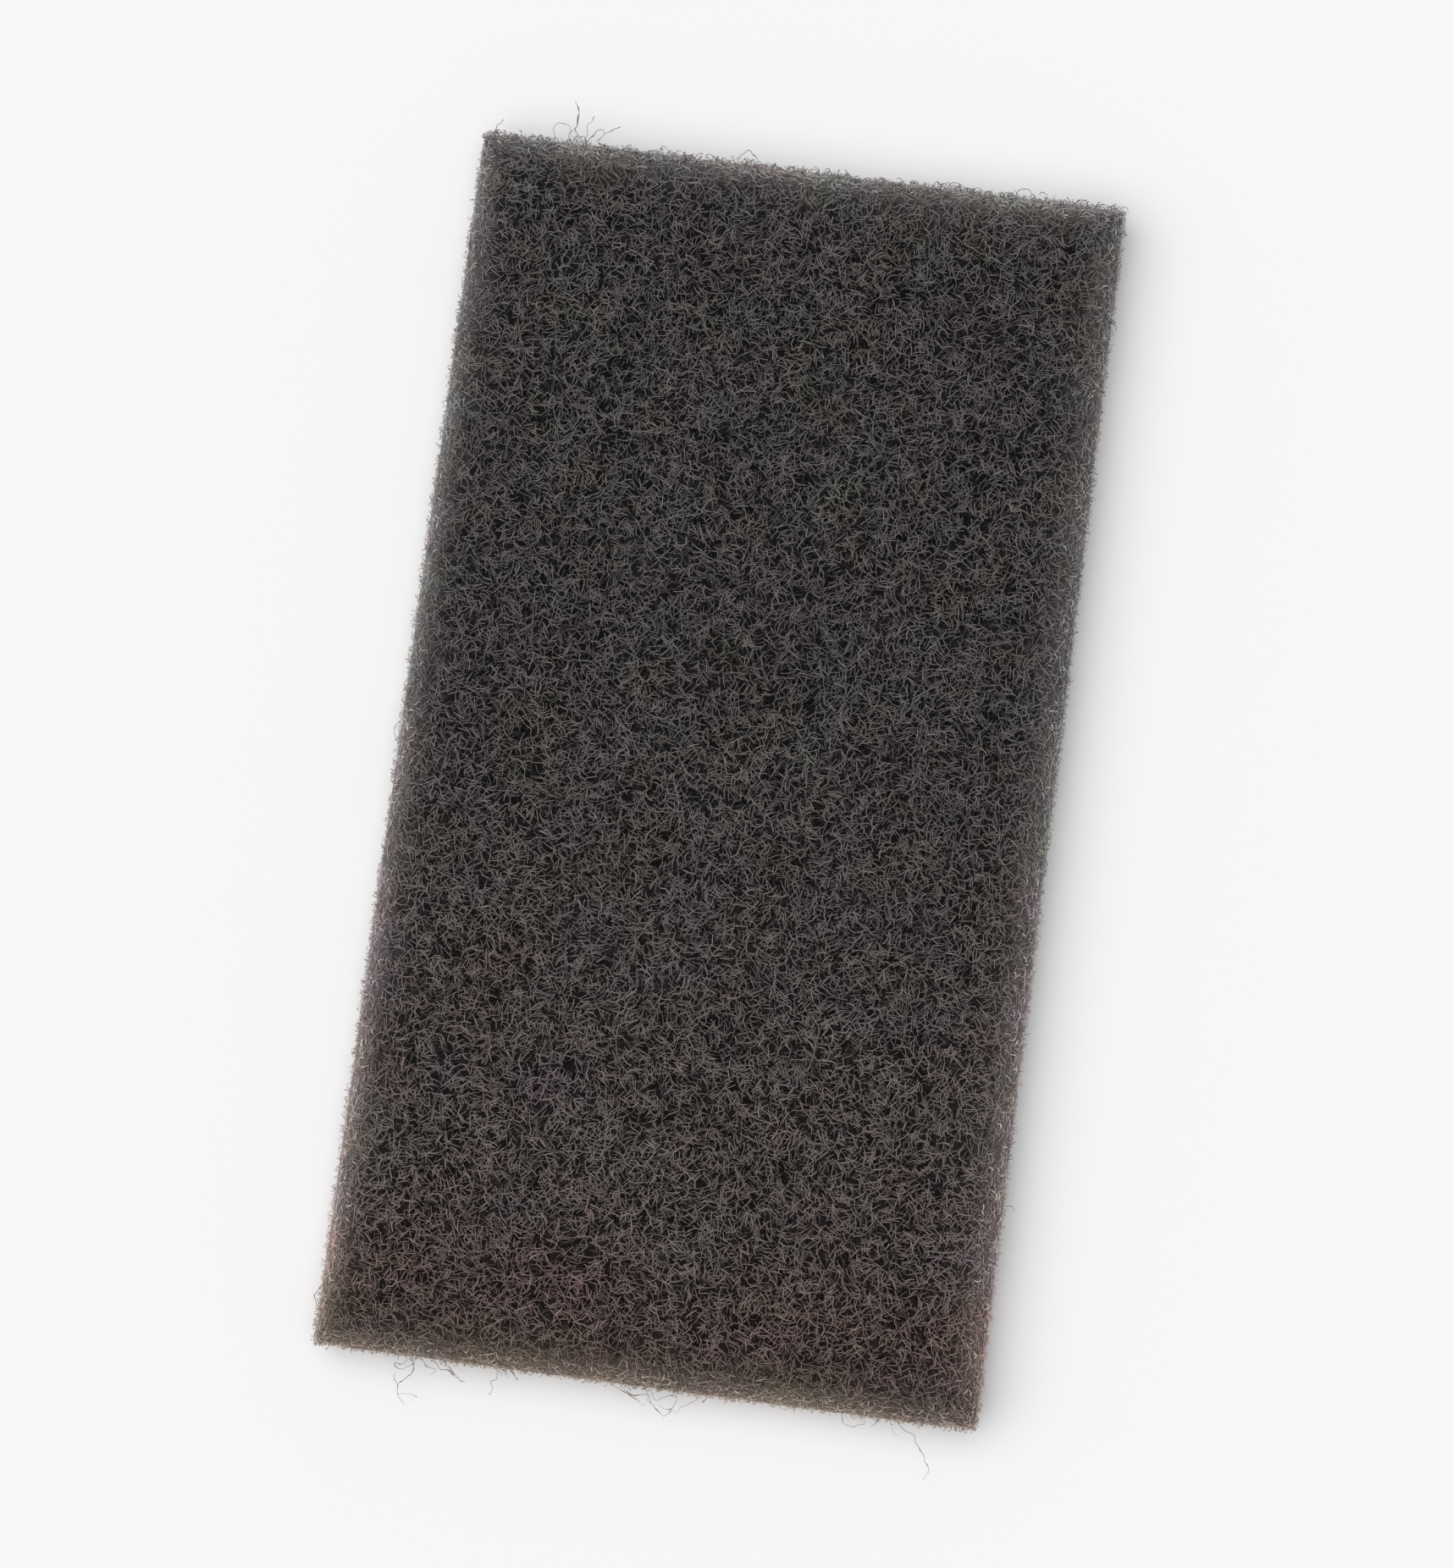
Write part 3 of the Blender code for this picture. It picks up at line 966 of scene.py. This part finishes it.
# The fibres that hang loose from the cut edge. Each has its share of a stray fibre's thickness,
# the heights of its root and of its tip, and the (x, y) of its route from the root on, in mm.
STRAY_ROUTES = (
    (
        0.62, 4.8, 1.8, (-27.7, -74.7), (-27.6, -75.3), (-27.6, -76), (-27.7, -76.7),
        (-28.3, -77.4), (-28.9, -78.1), (-29.4, -78.6), (-29.3, -79.2), (-29, -79.7),
        (-28.3, -80.5),
    ),
    (0.5, 2.6, 2.2, (-29.4, -78.7), (-29.7, -78.1), (-30.1, -77.5), (-29.9, -76.9)),
    (
        0.5, 4.8, 3.4, (-28.4, -74.8), (-28.5, -75.3), (-29, -75.8), (-29.8, -75.7), (-29.8, -76.3),
        (-28.9, -76.5), (-28.3, -76.1), (-27.7, -75.7),
    ),
    (0.6, 4.6, 4, (-28, -74.9), (-27.9, -75.3), (-27.4, -75.5), (-27.5, -75.9), (-27.9, -75.8)),
    (0.55, 4.8, 3.6, (-26.7, -74.9), (-26.4, -75.3), (-26, -75.7), (-25, -76), (-25.5, -76.6)),
    (
        0.66, 4.9, 2.8, (-25.2, -74.9), (-24.7, -75.5), (-23.9, -75.9), (-23.1, -76.1),
        (-22.5, -76.5), (-21.9, -76.8), (-21.3, -76.9),
    ),
    (0.55, 4.6, 3.4, (-24.2, -74.8), (-23.9, -75.1), (-23.4, -75.5), (-22.9, -76), (-22.2, -76.6)),
    (
        0.6, 4.4, 2.6, (-17.9, -74.8), (-17.6, -75.5), (-17.6, -76.2), (-18.2, -76.3), (-18.2, -77),
        (-17.9, -77.4), (-18.2, -78),
    ),
    (0.7, 4.4, 3.6, (-16, -74.8), (-15.7, -75.2), (-15.6, -75.7), (-15.3, -76.1)),
    (0.6, 4.4, 3.8, (-17.5, -75), (-17.3, -75.4), (-17, -75.5), (-16.9, -75.9)),
    (0.6, 4.4, 3.9, (-16.9, -75), (-16.7, -75.2), (-16.3, -75.7)),
    (
        0.35, 2.2, 1.4, (-29.2, -79.5), (-28.5, -79.4), (-27.8, -79.3), (-27.5, -79.4),
        (-26.9, -79.5),
    ),
    (
        0.58, 4.8, 1, (30.3, -74.6), (30.7, -75.4), (31.3, -75.9), (32.3, -76.2), (33.2, -77.4),
        (33.9, -78.2), (34.4, -79.3), (34.8, -80), (34.6, -80.9), (34.4, -81.4),
    ),
    (
        0.5, 4.6, 3.8, (23.6, -74.6), (23.8, -75), (24.2, -75.9), (25.4, -76.1), (25.9, -76),
        (26.6, -75.9), (26.4, -75.2), (26, -74.9),
    ),
    (0.55, 4.6, 4, (24.7, -74.6), (24.8, -74.9), (25.2, -75.4), (25.5, -75)),
    (0.6, 4.6, 3.9, (28.1, -74.6), (28.1, -75), (27.9, -75.5), (27.4, -75.8)),
    (0.35, 4.6, 3.2, (29.5, -74.7), (29.9, -75.8), (30.4, -76.5), (31, -76.5)),
    (
        0.5, 4.8, 3.8, (-3.8, -74.8), (-3.5, -75.2), (-2.2, -75.6), (-1.1, -76.2), (-0.3, -76.7),
        (0.6, -76.9),
    ),
    (
        0.5, 4.8, 3.8, (-2.6, -74.9), (-2.3, -75.3), (-1.4, -75.9), (-0.2, -75.8), (0.8, -75.6),
        (0.6, -76.3), (1, -76.6),
    ),
    (
        0.55, 4.8, 3.2, (0.3, -74.8), (0.6, -75.6), (1, -76.6), (1.6, -77.1), (2.2, -77.5),
        (2.7, -77.9), (3.3, -77.6), (3.7, -77.1), (4.1, -77.5),
    ),
    (
        0.5, 4.8, 3.4, (0.9, -74.9), (1.3, -76.1), (2.2, -76), (3.2, -75.5), (4, -75.6), (4, -76.4),
        (3.2, -77.1), (2.1, -76.7),
    ),
    (
        0.5, 4.8, 3.4, (6.8, -74.8), (6.7, -75.3), (5.9, -75.9), (5.2, -76.3), (4.7, -76.9),
        (4.1, -77.6),
    ),
    (0.65, 4.8, 4.2, (7.8, -74.7), (7.6, -75), (7.4, -75.4), (7.2, -75.8)),
    (0.8, 5, 6.4, (-38.6, 74.4), (-38.5, 75), (-38.3, 75.6), (-37.7, 75.8), (-37.5, 76.3)),
    (
        0.85, 4.8, 6.4, (-28.8, 74.9), (-28.6, 75.3), (-28.3, 75.9), (-28.8, 76.5), (-28.5, 76.9),
        (-28.5, 77.8), (-28.5, 78.9), (-29, 79.7),
    ),
    (
        0.62, 4.8, 5.6, (-30.9, 75.1), (-31.1, 75.4), (-31.3, 76.2), (-30.8, 77), (-29.9, 77.1),
        (-29.2, 76.4), (-28.9, 75.4),
    ),
    (0.75, 4.8, 5.4, (-29.3, 75), (-29.2, 75.6), (-29, 76.1), (-28.8, 76.7)),
    (0.6, 4.8, 6.2, (-27.3, 75.3), (-27.2, 75.8), (-27.2, 76.8), (-26.7, 77.6), (-26.4, 78.2)),
    (
        0.8, 4.8, 5.8, (-26.8, 75.2), (-26.6, 75.5), (-26.3, 76.1), (-25.9, 76.7), (-25.3, 76.8),
        (-25.1, 76.4),
    ),
    (0.6, 4.9, 6, (-25.8, 75.3), (-25.6, 75.6), (-25.1, 76.2), (-24.3, 76.7), (-23, 77.2)),
    (0.8, 4.8, 5, (-28.4, 75), (-28.2, 75.6), (-27.7, 75.9), (-27.3, 75.4), (-26.7, 75.1)),
    (0.8, 4.8, 5, (-28, 75), (-27.9, 75.4), (-28.2, 75.8), (-28.6, 75.6), (-28.8, 75.1)),
    (0.7, 4.8, 5.2, (-18, 75.1), (-17.9, 75.6), (-17.4, 75.7), (-16.8, 75.2)),
    (0.7, 4.8, 5.2, (-12.2, 75.2), (-12.1, 75.6), (-11.5, 75.4), (-10.8, 75.1)),
    (0.75, 4.8, 5.6, (-8.1, 75.3), (-8, 75.7), (-7.6, 76.3), (-7, 76.5), (-6.1, 75.7), (-5.9, 75)),
    (0.8, 5, 5.2, (17.8, 75), (18, 75.5), (18.8, 75.6), (20, 75.1), (20.6, 74.7)),
    (0.85, 5, 5.4, (26.2, 74.8), (26.5, 75.4), (27.1, 75.9), (27.8, 76), (28, 75.2)),
    (0.7, 5, 5.2, (33.8, 74.9), (34, 75.2), (34.8, 75.3)),
    (0.7, 4.9, 5.2, (29.1, 75.4), (29.3, 75.8), (29.9, 75.6), (30.2, 75.1)),
    (0.7, 4.9, 5, (36.6, 74.7), (36.8, 75.1), (37.7, 75.1), (38.3, 74.7)),
    (0.8, 6.6, 4, (38.7, 61.1), (39.5, 60.5), (40.4, 60.3), (40.5, 59.9)),
    (0.8, 6, 3.6, (38.8, -47.7), (39.9, -47.9), (40.9, -47.9), (41.3, -48.4)),
    (0.7, 6, 4, (-38.7, 1.4), (-39.7, 0.8), (-40.5, 0.1), (-40.5, -0.9), (-39.9, -1.4)),
    (0.7, 6, 4.2, (-38.9, -67.6), (-39.9, -68.2), (-40.4, -69.2), (-40.1, -70.1), (-39.5, -70.4)),
)


def stray_routes():
    """The routes of the stray fibres as lines of a mesh."""
    points, edges, shares = [], [], []
    for share, root_height, tip_height, *route in STRAY_ROUTES:
        last = len(route) - 1
        edges += [(len(points) + i, len(points) + i + 1) for i in range(last)]
        for i, (x, y) in enumerate(route):
            height = root_height + (tip_height - root_height) * i / last
            points.append(Vector((x, y, height)) * MM)
            shares.append(share)
    mesh = bpy.data.meshes.new("stray_routes")
    mesh.from_pydata(points, edges, [])
    mesh.attributes.new("share", "FLOAT", "POINT").data.foreach_set("value", shares)
    return mesh


def pore_points():
    """The pores' middles on their faces as loose points, each with its depth."""
    found = pore_middles()
    mesh = bpy.data.meshes.new("pore_points")
    mesh.from_pydata([(x, y, height) for x, y, height, _ in found], [], [])
    depths = mesh.attributes.new("pore_depth", "FLOAT", "POINT")
    depths.data.foreach_set("value", [depth for _, _, _, depth in found])
    return shown("pore_points", mesh)


def dressed(piece):
    """Makes a piece ride on the pad's body."""
    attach(piece, PAD_BODY)
    return piece


def grown(name, mesh, group, values):
    """Runs a node group on a mesh, and makes a plain piece of the result."""
    tree = bpy.data.node_groups[group]
    guide = shown(name + "_guide", mesh)
    modifier = guide.modifiers.new("nodes", "NODES")
    modifier.node_group = tree
    wanted = dict(values)
    for socket in tree.interface.items_tree:
        if getattr(socket, "in_out", None) == "INPUT" and socket.name in wanted:
            modifier[socket.identifier] = wanted.pop(socket.name)
    if wanted:
        raise RuntimeError(f"{group} has no input named {', '.join(wanted)}")
    graph = bpy.context.evaluated_depsgraph_get()
    graph.update()
    result = bpy.data.meshes.new_from_object(guide.evaluated_get(graph))
    bpy.data.objects.remove(guide)
    if not result.polygons:
        raise RuntimeError(f"{name} came out empty")
    for used in ("skin_turn", "strayed", "thickness", "shade", "run", "around", "share"):
        if used in result.attributes:
            result.attributes.remove(result.attributes[used])
    result.name = name
    return dressed(shown(name, result))


def fibre_piece(name, **values):
    """One layer of the web as its own piece. Each value is an input of the fibre web's nodes."""
    fibres = bpy.context.scene.pad_fibres
    inputs = {
        "Pores": bpy.data.objects["pore_points"],
        "Bend radius": fibres.bend_radius,
        "Fibre diameter": fibres.diameter,
        "Lumpiness": fibres.lumpiness,
        "Material": bpy.data.materials["coated_fibre_strand"],
    }
    inputs.update({key.replace("_", " ").capitalize(): value for key, value in values.items()})
    return grown(name, pad_skin(), "Fibre web", inputs)


def face_layer(name, triangles, points, segment, most_depth, **values):
    """Short lengths of fibre over a face, with so many triangles to each square metre of it."""
    return fibre_piece(
        name,
        fibres_per_area=triangles / (6 * points - 4),  # the triangles of one closed tube
        points=points,
        segment_length=segment * MM,
        most_depth=most_depth * MM,
        start_depth=0.12 * MM,
        end_depth=0.12 * MM,
        weave_depth=0.12 * MM,
        **values,
    )


# Operators


class PAD_OT_prepare(bpy.types.Operator):
    """Build the node groups and materials that the pieces share"""

    bl_idname = "pad.prepare"
    bl_label = "Groups and materials"

    def execute(self, context):
        dye_drift_group()
        grit_group()
        deep_strands_group()
        fibre_web_tree()
        stray_fibre_tree()
        fibre_material(context.scene.pad_colours)
        core_material(context.scene.pad_colours)
        pore_points()
        return {"FINISHED"}


class PAD_OT_web_core(bpy.types.Operator):
    """Build the dark core, painted shade, that stands for the depth of the web"""

    bl_idname = "pad.web_core"
    bl_label = "Web core"

    def execute(self, context):
        web = context.scene.pad_web
        shell = merged_cad()
        for vert in shell.verts:
            inside = min(PAD_HALF.x - abs(vert.co.x), PAD_HALF.y - abs(vert.co.y))
            in_field = min(max(inside / web.matted_width, 0.0), 1.0)
            depth = web.core_inset + (web.core_depth - web.core_inset) * in_field
            vert.co.x *= 1 - web.core_inset / PAD_HALF.x
            vert.co.y *= 1 - web.core_inset / PAD_HALF.y
            vert.co.z = MID_HEIGHT + (vert.co.z - MID_HEIGHT) * (1 - depth / PAD_HALF.z)
        mesh = bpy.data.meshes.new("web_core")
        shell.to_mesh(mesh)
        shell.free()
        mesh.materials.clear()
        mesh.materials.append(bpy.data.materials["coated_fibre_core"])
        mesh.shade_smooth()
        core = dressed(shown("web_core", mesh))
        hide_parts(PAD_NODE)
        return {"FINISHED"}


class PAD_OT_top_web(bpy.types.Operator):
    """Lay four layers of fibres over the upper face"""

    bl_idname = "pad.top_web"
    bl_label = "Upper web"

    def execute(self, context):
        web = context.scene.pad_web
        # Points and segment length of a fibre, most depth, least facing, place in the draws
        layers = (
            ("top_web_upper", 3, 0.80, 0.30, -0.05, 1),
            ("top_web_second", 3, 0.75, 0.45, 0.10, 2),
            ("top_web_third", 2, 1.15, 0.60, 0.25, 7),
            ("top_web_lower", 2, 1.10, 0.80, 0.40, 9),
        )
        for name, points, segment, most_depth, facing, turn in layers:
            values = {"facing_from": facing, "least_depth": 0.05 * MM}
            values["seed"] = web.seed + 100 * turn
            face_layer(name, web.face_triangles, points, segment, most_depth, **values)
        return {"FINISHED"}


class PAD_OT_under_web(bpy.types.Operator):
    """Lay two layers of fibres under the pad"""

    bl_idname = "pad.under_web"
    bl_label = "Underside web"

    def execute(self, context):
        web = context.scene.pad_web
        layers = (("under_web_lower", 3, 1.10, 0.40, 3), ("under_web_upper", 2, 1.60, 0.70, 4))
        for name, points, segment, most_depth, turn in layers:
            values = {"facing_to": -0.05, "least_depth": 0.08 * MM, "fibre_diameter": 0.17 * MM}
            values["seed"] = web.seed + 100 * turn
            face_layer(name, web.under_triangles, points, segment, most_depth, **values)
        return {"FINISHED"}


class PAD_OT_edge_web(bpy.types.Operator):
    """Mat short fibres round the cut edge, with fringes of ends that stand out"""

    bl_idname = "pad.edge_web"
    bl_label = "Cut edge"

    def execute(self, context):
        web = context.scene.pad_web
        fibre_piece(
            "edge_web",
            facing_from=-0.98,
            facing_to=0.985,
            fibres_per_area=web.edge_fibres,
            points=4,
            segment_length=0.28 * MM,
            bend_radius=0.5 * MM,
            fibre_diameter=0.15 * MM,
            least_depth=-0.3 * MM,
            most_depth=0.3 * MM,
            start_depth=0.45 * MM,
            end_depth=0.25 * MM,
            weave_depth=0.15 * MM,
            seed=web.seed + 500,
        )
        fringe = {
            "fibre_diameter": 0.13 * MM,
            "end_scatter": 1.0,
            "end_sharpness": 2.0,
        }
        fibre_piece(
            "edge_fringe",
            facing_from=-0.55,
            facing_to=0.62,
            fibres_per_area=web.fringe_fibres,
            points=4,
            segment_length=0.18 * MM,
            bend_radius=0.3 * MM,
            least_depth=-0.1 * MM,
            most_depth=0.25 * MM,
            start_depth=0.6 * MM,
            end_depth=-0.5 * MM,
            loop_height=0.35 * MM,
            weave_depth=0.15 * MM,
            least_shade=0.1,
            most_shade=0.5,
            paleness=0.5,
            seed=web.seed + 600,
            **fringe,
        )
        fibre_piece(
            "rear_fringe",
            zone_axis=(0.0, 1.0, 0.0),
            facing_from=0.55,
            fibres_per_area=web.rear_fibres,
            points=8,
            segment_length=0.16 * MM,
            bend_radius=0.25 * MM,
            least_depth=0.0,
            most_depth=0.2 * MM,
            start_depth=0.5 * MM,
            end_depth=-0.8 * MM,
            loop_height=0.6 * MM,
            weave_depth=0.2 * MM,
            least_shade=0.08,
            most_shade=0.42,
            paleness=0.15,
            seed=web.seed + 800,
            **fringe,
        )
        return {"FINISHED"}


class PAD_OT_stray_fibres(bpy.types.Operator):
    """Draw the long fibres that hang loose from the cut edge"""

    bl_idname = "pad.stray_fibres"
    bl_label = "Stray fibres"

    def execute(self, context):
        values = {
            "Fibre diameter": 0.10 * MM,
            "Seed": context.scene.pad_web.seed,
            "Material": bpy.data.materials["coated_fibre_strand"],
        }
        grown("stray_fibres", stray_routes(), "Stray fibres", values)
        return {"FINISHED"}


class PAD_OT_stage(bpy.types.Operator):
    """Set up the floor, the soft studio light and the camera"""

    bl_idname = "pad.stage"
    bl_label = "Studio"

    def execute(self, context):
        stage = context.scene.pad_stage
        context.scene.view_settings.view_transform = "Standard"
        make_floor(stage)
        make_light(stage)
        make_camera()
        return {"FINISHED"}


def make_floor(stage):
    corners = [(x * FLOOR_HALF, y * FLOOR_HALF, 0) for x, y in ((-1, -1), (1, -1), (1, 1), (-1, 1))]
    mesh = bpy.data.meshes.new("floor")
    mesh.from_pydata(corners, [], [(0, 1, 2, 3)])
    mesh.materials.append(floor_material(stage.floor))
    shown("floor", mesh)


def make_light(stage):
    """A broad lamp from the upper left and an even sky, which together show a colour as written."""
    tilt, heading = stage.key_tilt, stage.key_heading
    lamp = bpy.data.lights.new("key", "SUN")
    lamp.angle = stage.key_spread
    lamp.energy = math.pi * (1 - stage.sky_share) / math.cos(tilt)
    lamp.color = KEY_TINT
    towards = Vector(
        (-math.sin(tilt) * math.cos(heading), -math.sin(tilt) * math.sin(heading), math.cos(tilt))
    )
    key = shown("key", lamp)
    key.rotation_mode = "QUATERNION"
    key.rotation_quaternion = towards.to_track_quat("Z", "Y")

    world = bpy.data.worlds.new("studio")
    bpy.context.scene.world = world
    world.use_nodes = True
    tree = world.node_tree
    tree.nodes.clear()
    path = add(tree, "ShaderNodeLightPath")
    rays = [get(tree, path, f"Is {kind} Ray") for kind in ("Camera", "Glossy", "Transmission")]
    sky = opaque([part * stage.sky_share for part in SKY_TINT])
    sky = {"Color": mixed(most(*rays), sky, opaque(stage.floor)), "Strength": 1.0}
    sky = made(tree, "ShaderNodeBackground", "Background", sky)
    add(tree, "ShaderNodeOutputWorld", {"Surface": sky})


def make_camera():
    data = bpy.data.cameras.new("camera")
    data.sensor_fit = "AUTO"
    data.sensor_width = SENSOR
    data.lens = FOCAL_PIXELS / PHOTO_HEIGHT * SENSOR
    data.clip_start, data.clip_end = 0.01, 20.0
    sideways = math.sin(CAMERA_TILT)
    back = Vector(
        (
            sideways * math.sin(CAMERA_HEADING),
            -sideways * math.cos(CAMERA_HEADING),
            math.cos(CAMERA_TILT),
        )
    )
    up = (Vector((0.0, 1.0, 0.0)) - back * back.y).normalized()
    right = up.cross(back)
    turned_right = right * math.cos(CAMERA_ROLL) + up * math.sin(CAMERA_ROLL)
    turned_up = up * math.cos(CAMERA_ROLL) - right * math.sin(CAMERA_ROLL)
    placed = Matrix((turned_right, turned_up, back)).transposed().to_4x4()
    placed.translation = Vector(CAMERA_AIM) + back * CAMERA_DISTANCE
    camera = shown("camera", data)
    camera.matrix_world = placed
    bpy.context.scene.camera = camera


class PAD_PT_builder(bpy.types.Panel):
    """Lists the steps that build the pad"""

    bl_idname = "PAD_PT_builder"
    bl_label = "Abrasive pad"
    bl_space_type = "VIEW_3D"
    bl_region_type = "UI"
    bl_category = "Abrasive pad"

    def draw(self, context):
        for operator in OPERATORS:
            self.layout.operator(operator.bl_idname)
        for name, _ in SETTINGS:
            box = self.layout.box()
            settings = getattr(context.scene, name)
            for key in settings.__annotations__:
                box.prop(settings, key)


SETTINGS = (
    ("pad_fibres", PadFibreSettings),
    ("pad_web", PadWebSettings),
    ("pad_colours", PadColourSettings),
    ("pad_stage", PadStageSettings),
)
OPERATORS = (
    PAD_OT_prepare,
    PAD_OT_web_core,
    PAD_OT_top_web,
    PAD_OT_under_web,
    PAD_OT_edge_web,
    PAD_OT_stray_fibres,
    PAD_OT_stage,
)


def register():
    for name, group in SETTINGS:
        bpy.utils.register_class(group)
        setattr(bpy.types.Scene, name, PointerProperty(type=group))
    for operator in OPERATORS:
        bpy.utils.register_class(operator)
    bpy.utils.register_class(PAD_PT_builder)


def unregister():
    bpy.utils.unregister_class(PAD_PT_builder)
    for operator in reversed(OPERATORS):
        bpy.utils.unregister_class(operator)
    for name, group in reversed(SETTINGS):
        delattr(bpy.types.Scene, name)
        bpy.utils.unregister_class(group)


def main():
    register()
    bpy.ops.pad.prepare()
    bpy.ops.pad.web_core()
    bpy.ops.pad.top_web()
    bpy.ops.pad.under_web()
    bpy.ops.pad.edge_web()
    bpy.ops.pad.stray_fibres()
    bpy.ops.pad.stage()
    bpy.data.objects.remove(bpy.data.objects["pore_points"])


if __name__ == "__main__":
    main()
